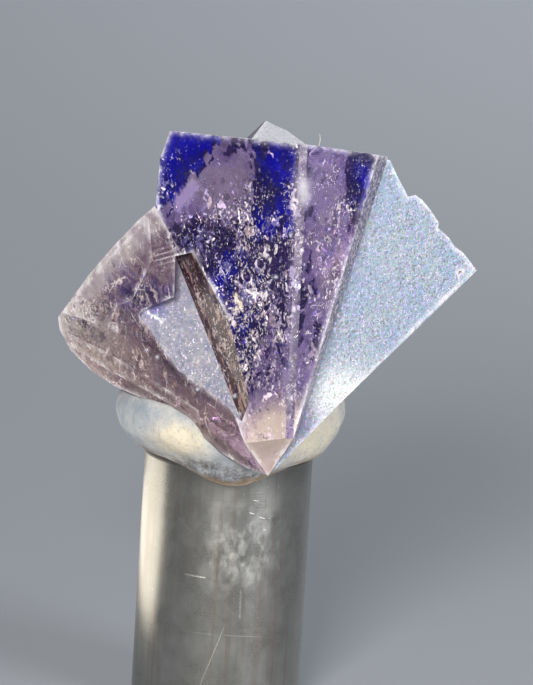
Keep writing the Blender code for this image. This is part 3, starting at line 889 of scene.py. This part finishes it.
def flake_field(name, centres, lean, across, thick):
    """Many small lens-shaped flakes in one mesh: an uneven ring of seven corners and two middles.

    centres and lean are arrays of places and directions; across and thick are arrays of sizes."""
    count = len(centres)
    side = np.cross(lean, np.array((0.31, 0.52, 0.79)))
    side = side / np.linalg.norm(side, axis=1)[:, None]
    over = np.cross(lean, side)
    angle = np.linspace(0.0, 2.0 * pi, ring_corners, endpoint=False)[None, :]
    angle = angle + rng.uniform(0, 2 * pi, (count, 1))
    radius = across[:, None] * rng.uniform(0.45, 1.0, (count, ring_corners))
    slim = rng.uniform(0.35, 1.0, (count, 1))
    ring = (
        centres[:, None, :] + (radius * np.cos(angle))[..., None] * side[:, None, :]
        + (radius * slim * np.sin(angle))[..., None] * over[:, None, :]
    )
    uneven = thick[:, None] * rng.uniform(-0.6, 0.6, (count, ring_corners))
    ring = ring + uneven[..., None] * lean[:, None, :]
    caps = np.stack([centres + thick[:, None] * lean, centres - thick[:, None] * lean], axis=1)
    return lens_mesh(name, np.concatenate([ring, caps], axis=1), np.zeros(3))


def lens_mesh(name, points, inwards):
    """Joins lens shapes, each of seven ring corners and two middles, into one mesh; those that
    don't lie within the group, moved inwards by the given step, are left out."""
    corners = points.shape[1]
    points = points[within_group((points + inwards).reshape(-1, 3)).reshape(-1, corners).all(axis=1)]
    count = len(points)
    points = points.reshape(-1, 3)
    here = np.arange(ring_corners)
    after = (here + 1) % ring_corners
    top = np.stack([np.full(ring_corners, ring_corners), here, after], axis=1)
    low = np.stack([np.full(ring_corners, ring_corners + 1), after, here], axis=1)
    one = np.vstack([top, low])
    facets = (one[None] + corners * np.arange(count)[:, None, None]).reshape(-1, 3)
    mesh = bpy.data.meshes.new(name)
    mesh.from_pydata((from_group(points) * MM).tolist(), [], facets.tolist())
    tone = np.repeat(rng.uniform(0.0, 1.0, count), len(one))
    mesh.attributes.new("tone", "FLOAT", "FACE").data.foreach_set("value", tone.astype(np.float32))
    return placed(name, mesh)


cleavage = np.array([host_turn @ Vector(way) for way in ((1, 1, 1), (1, -1, 1), (-1, 1, 1), (1, 1, -1))])
cleavage = cleavage / np.linalg.norm(cleavage, axis=1)[:, None]


def flakes_under(name, face, distance, count, spread, deepest, largest):
    """Flakes scattered under a face: more of them close below it, along the four cleavage directions.

    spread is rows of (x, z, reach, share): soft clusters in front view that the flakes gather in."""
    spread = np.array(spread)
    pick = rng.choice(len(spread), count, p=spread[:, 3] / spread[:, 3].sum())
    x = spread[pick, 0] + spread[pick, 2] * rng.normal(0.0, 0.5, count)
    z = spread[pick, 1] + spread[pick, 2] * rng.normal(0.0, 0.5, count)
    depth = 0.12 + deepest * rng.power(0.6, count) * rng.uniform(0.0, 1.0, count)
    y = (distance - depth - face[0] * x - face[2] * z) / face[1]
    lean = cleavage[rng.integers(0, 4, count)] + rng.normal(0.0, 0.22, (count, 3))
    lean = lean / np.linalg.norm(lean, axis=1)[:, None]
    smallest = 0.05
    across = smallest * (largest / smallest) ** (rng.uniform(0.0, 1.0, count) ** 2.2)
    return flake_field(name, np.stack([x, y, z], axis=1), lean, across, 0.012 + 0.02 * across)


def flake_finish():
    """Inside of a crack: a silvery film, about a third of them white to peach, the rest lilac to dark."""
    finish, tree, shader = new_finish("crack_film")
    place = add(tree, "TexCoord").outputs["Object"]
    tone = add(tree, "Attribute", attribute_name="tone").outputs["Fac"]
    film = ramp(tone, [
        (0.0, (0.84, 0.78, 0.84)), (0.08, (0.84, 0.68, 0.66)), (0.16, (0.78, 0.54, 0.46)),
        (0.30, (0.50, 0.40, 0.52)), (0.50, (0.32, 0.27, 0.50)), (0.62, (0.12, 0.10, 0.36)),
        (0.80, (0.04, 0.03, 0.18)), (1.0, (0.08, 0.04, 0.09)),
    ])
    haze = add(tree, "TexNoise", {"Vector": place, "Scale": 3500.0, "Detail": 3.0}).outputs["Fac"]
    wire_up(
        shader, Base_Color=blend_colour(times(haze, 0.35), film, (0.55, 0.45, 0.70)), Metallic=0.8,
        Roughness=ramp(haze, [(0.3, grey(0.16)), (0.7, grey(0.38))]), Normal=bumped(haze, 0.4, 0.00004),
    )
    return finish


def slivers_on(name, face, distance, count, spread, longest):
    """Cracks that reach the face: fans of thin slivers that lie in it, each fan about its own heading.

    spread is as for the flakes. A fan is nine slivers near one place, tilted a little in the face."""
    spread = np.array(spread)
    fans = count // slivers_in_fan
    pick = rng.choice(len(spread), fans, p=spread[:, 3] / spread[:, 3].sum())
    fan = np.repeat(np.arange(fans), slivers_in_fan)
    count = len(fan)
    way = (rng.choice([1.2, 1.9, 0.5], fans, p=[0.55, 0.3, 0.15]) + rng.normal(0.0, 0.25, fans))[fan]
    way = way + rng.normal(0.0, 0.28, count)
    right = np.cross(face, np.array((0.0, 0.0, 1.0)))
    right = -right / np.linalg.norm(right)
    up = np.cross(right, face)
    along = np.cos(way)[:, None] * right + np.sin(way)[:, None] * up
    x = (spread[pick, 0] + spread[pick, 2] * rng.normal(0.0, 0.5, fans))[fan]
    z = (spread[pick, 1] + spread[pick, 2] * rng.normal(0.0, 0.5, fans))[fan]
    y = (distance - face[0] * x - face[2] * z) / face[1]
    centres = np.stack([x, y, z], axis=1) + rng.uniform(-0.45, 0.45, count)[:, None] * along
    centres = centres + rng.normal(0.0, 0.10, count)[:, None] * np.cross(along, face)
    lean = np.cross(along, face) * rng.uniform(-0.5, 0.5, count)[:, None] + face
    lean = lean / np.linalg.norm(lean, axis=1)[:, None]
    over = np.cross(lean, along)
    shortest = 0.03
    half = 0.5 * shortest * (longest / shortest) ** (rng.uniform(0.0, 1.0, count) ** 1.6)
    slim = np.minimum(0.024, half * rng.uniform(0.08, 0.40, count))
    angle = np.linspace(0.0, 2.0 * pi, ring_corners, endpoint=False)[None, :]
    length = half[:, None] * np.cos(angle) * rng.uniform(0.7, 1.0, (count, ring_corners))
    width = slim[:, None] * np.sin(angle) * rng.uniform(0.3, 1.0, (count, ring_corners))
    ring = (
        centres[:, None, :] + length[..., None] * along[:, None, :] + width[..., None] * over[:, None, :]
    )
    caps = np.stack([centres + 0.010 * lean, centres - 0.010 * lean], axis=1)
    return lens_mesh(name, np.concatenate([ring, caps], axis=1), -0.12 * face)


crack_film = flake_finish()
blue_spots = [
    (-0.9, 3.4, 2.2, 3.0), (-2.6, 2.6, 2.2, 2.0), (-1.6, -0.3, 2.0, 3.0), (-0.6, -2.8, 1.6, 2.0),
    (-3.2, 5.2, 1.6, 0.3),
]
mauve_spots = [(2.8, 2.4, 1.6, 2.0), (2.4, -0.5, 1.2, 1.5), (3.4, 5.0, 1.2, 1.0), (1.6, -4.0, 0.8, 1.0)]
left_spots = [
    (-7.6, 0.2, 1.8, 2.5), (-8.4, -1.6, 1.2, 2.0), (-5.8, 0.6, 1.8, 2.0), (-6.4, -2.6, 1.8, 2.0),
    (-4.2, -4.6, 1.6, 1.5), (-2.2, -6.2, 1.2, 1.0),
]
for cracks in (
    flakes_under("block_cracks", blue_face, blue_distance, 1000, blue_spots, 2.6, 0.42),
    flakes_under("mauve_side_cracks", mauve_face, mauve_distance, 320, mauve_spots, 2.2, 0.36),
    flakes_under("left_wing_cracks", left_face, left_distance, 700, left_spots, 2.4, 0.42),
    slivers_on("block_slivers", blue_face, blue_distance + 0.015, 720, blue_spots, 0.38),
    slivers_on("mauve_side_slivers", mauve_face, mauve_distance + 0.015, 270, mauve_spots, 0.34),
    slivers_on("left_wing_slivers", left_face, left_distance + 0.095, 810, left_spots, 0.26),
):
    cracks.data.materials.append(crack_film)
    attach(cracks, "root")


# The lint: one short pale fibre that has settled on the block's top edge and stands up from it.
def fibre_skin(path, width, around):
    """Tube of rings about a path of points; each ring lies level, and the width thins towards the end."""
    angle = np.linspace(0.0, 2.0 * pi, around, endpoint=False)
    share = np.linspace(0.0, 1.0, len(path))[:, None]
    radius = 0.5 * width * (1.0 - 0.6 * share)
    level = [radius * np.cos(angle), radius * np.sin(angle), 0.0 * radius * angle]
    return path[:, None, :] + np.stack(level, axis=-1)


def lint_finish():
    """Dull pale fuzz."""
    finish, tree, shader = new_finish("lint")
    fuzz = noise(in_millimetres(tree), 9.0)
    colour = ramp(fuzz, [(0.3, (0.62, 0.58, 0.50)), (0.7, (0.86, 0.84, 0.78))])
    wire_up(shader, Base_Color=colour, Roughness=0.8)
    return finish


# it rises almost straight, sways a little to the side and bends slowly backwards
share = np.linspace(0.0, 1.0, 24)[:, None]
fibre_path = np.hstack([2.39 + 0.06 * np.sin(2.6 * share), -8.34 + 0.10 * share ** 2, 6.84 + 0.58 * share])
fibre_rings = from_group(fibre_skin(fibre_path, 0.035, 8))
lint = grid_mesh("lint_fibre", fibre_rings, fibre_rings[0].mean(axis=0), fibre_rings[-1].mean(axis=0))
lint.data.materials.append(lint_finish())
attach(lint, "root")


# The studio: a plain pale floor, a soft key lamp in front and a little left, a fill lamp on the right,
# one behind that lights the crystals through, and a flat one low on the left for the rod's bright strip.
def floor_sheet():
    """Flat square of pale matt card."""
    mesh = bpy.data.meshes.new("studio_floor")
    half = 6.0
    corners = [(-half, -half, 0.0), (half, -half, 0.0), (half, half, 0.0), (-half, half, 0.0)]
    mesh.from_pydata(corners, [], [(0, 1, 2, 3)])
    finish, tree, shader = new_finish("pale_card")
    place = add(tree, "TexCoord").outputs["Object"]
    tone = add(tree, "TexNoise", {"Vector": place, "Scale": 3.0, "Detail": 2.0}).outputs["Fac"]
    colour = ramp(tone, [(0.3, (0.33, 0.35, 0.38)), (0.7, (0.36, 0.38, 0.41))])
    wire_up(shader, Base_Color=colour, Roughness=0.8)
    mesh.materials.append(finish)
    return placed("studio_floor", mesh)


floor_sheet()


def soft_lamp(name, place, aim, wide, tall, power, colour):
    """Rectangular soft lamp at a place in millimetres, turned to aim."""
    lamp = bpy.data.lights.new(name, "AREA")
    lamp.shape = "RECTANGLE"
    lamp.size, lamp.size_y = wide * MM, tall * MM
    lamp.energy = power
    lamp.color = colour
    made = placed(name, lamp)
    made.location = Vector(place) * MM
    made.rotation_euler = (Vector(aim) - Vector(place)).to_track_quat("-Z", "Y").to_euler()
    return made


middle = (1.0, -0.7, 19.0)
soft_lamp("key_lamp", (-45.0, -262.0, 125.0), middle, 70.0, 70.0, 0.78, (1.0, 0.97, 0.92))
soft_lamp("fill_lamp", (210.0, -190.0, 90.0), middle, 120.0, 120.0, 0.55, (0.94, 0.97, 1.0))
soft_lamp("back_lamp", (60.0, 220.0, 120.0), middle, 160.0, 120.0, 0.22, (0.95, 0.97, 1.0))
strip = soft_lamp("strip_lamp", (-36.0, 17.0, 1.5), (-36.0, 17.0, 60.0), 46.0, 34.0, 0.011, (1.0, 0.93, 0.80))
strip.visible_camera = False

world = bpy.data.worlds.new("studio_air")
world.use_nodes = True
wire_up(world.node_tree.nodes["Background"], Color=(0.62, 0.68, 0.76, 1.0), Strength=0.22)
bpy.context.scene.world = world
bpy.context.scene.view_settings.view_transform = "Standard"

# the camera stands 13 degrees above the horizon and rolls by 3.4, as in the photo; one pixel of the
# picture, which is 685 high, covers 0.04734 mm at the group
pixel = 0.04734 * MM
picture_height = 685
sensor_height = 36.0
rise, roll = radians(13.0), radians(3.4)
level = Vector((1.0, 0.0, 0.0))
upright = Vector((0.0, sin(rise), cos(rise)))
toward = Vector((0.0, -cos(rise), sin(rise)))
image_right = cos(roll) * level + sin(roll) * upright
image_up = cos(roll) * upright - sin(roll) * level
away = 0.5
aim = group_centre * MM - 1.0 * pixel * image_right - 48.5 * pixel * image_up
lens = bpy.data.cameras.new("camera")
lens.lens = sensor_height * away / (picture_height * pixel)
lens.clip_start = 0.05
lens.clip_end = 20.0
camera = placed("camera", lens)
camera.matrix_world = Matrix((image_right, image_up, toward)).transposed().to_4x4()
camera.location = aim + away * toward
bpy.context.scene.camera = camera

bpy.context.view_layer.update()
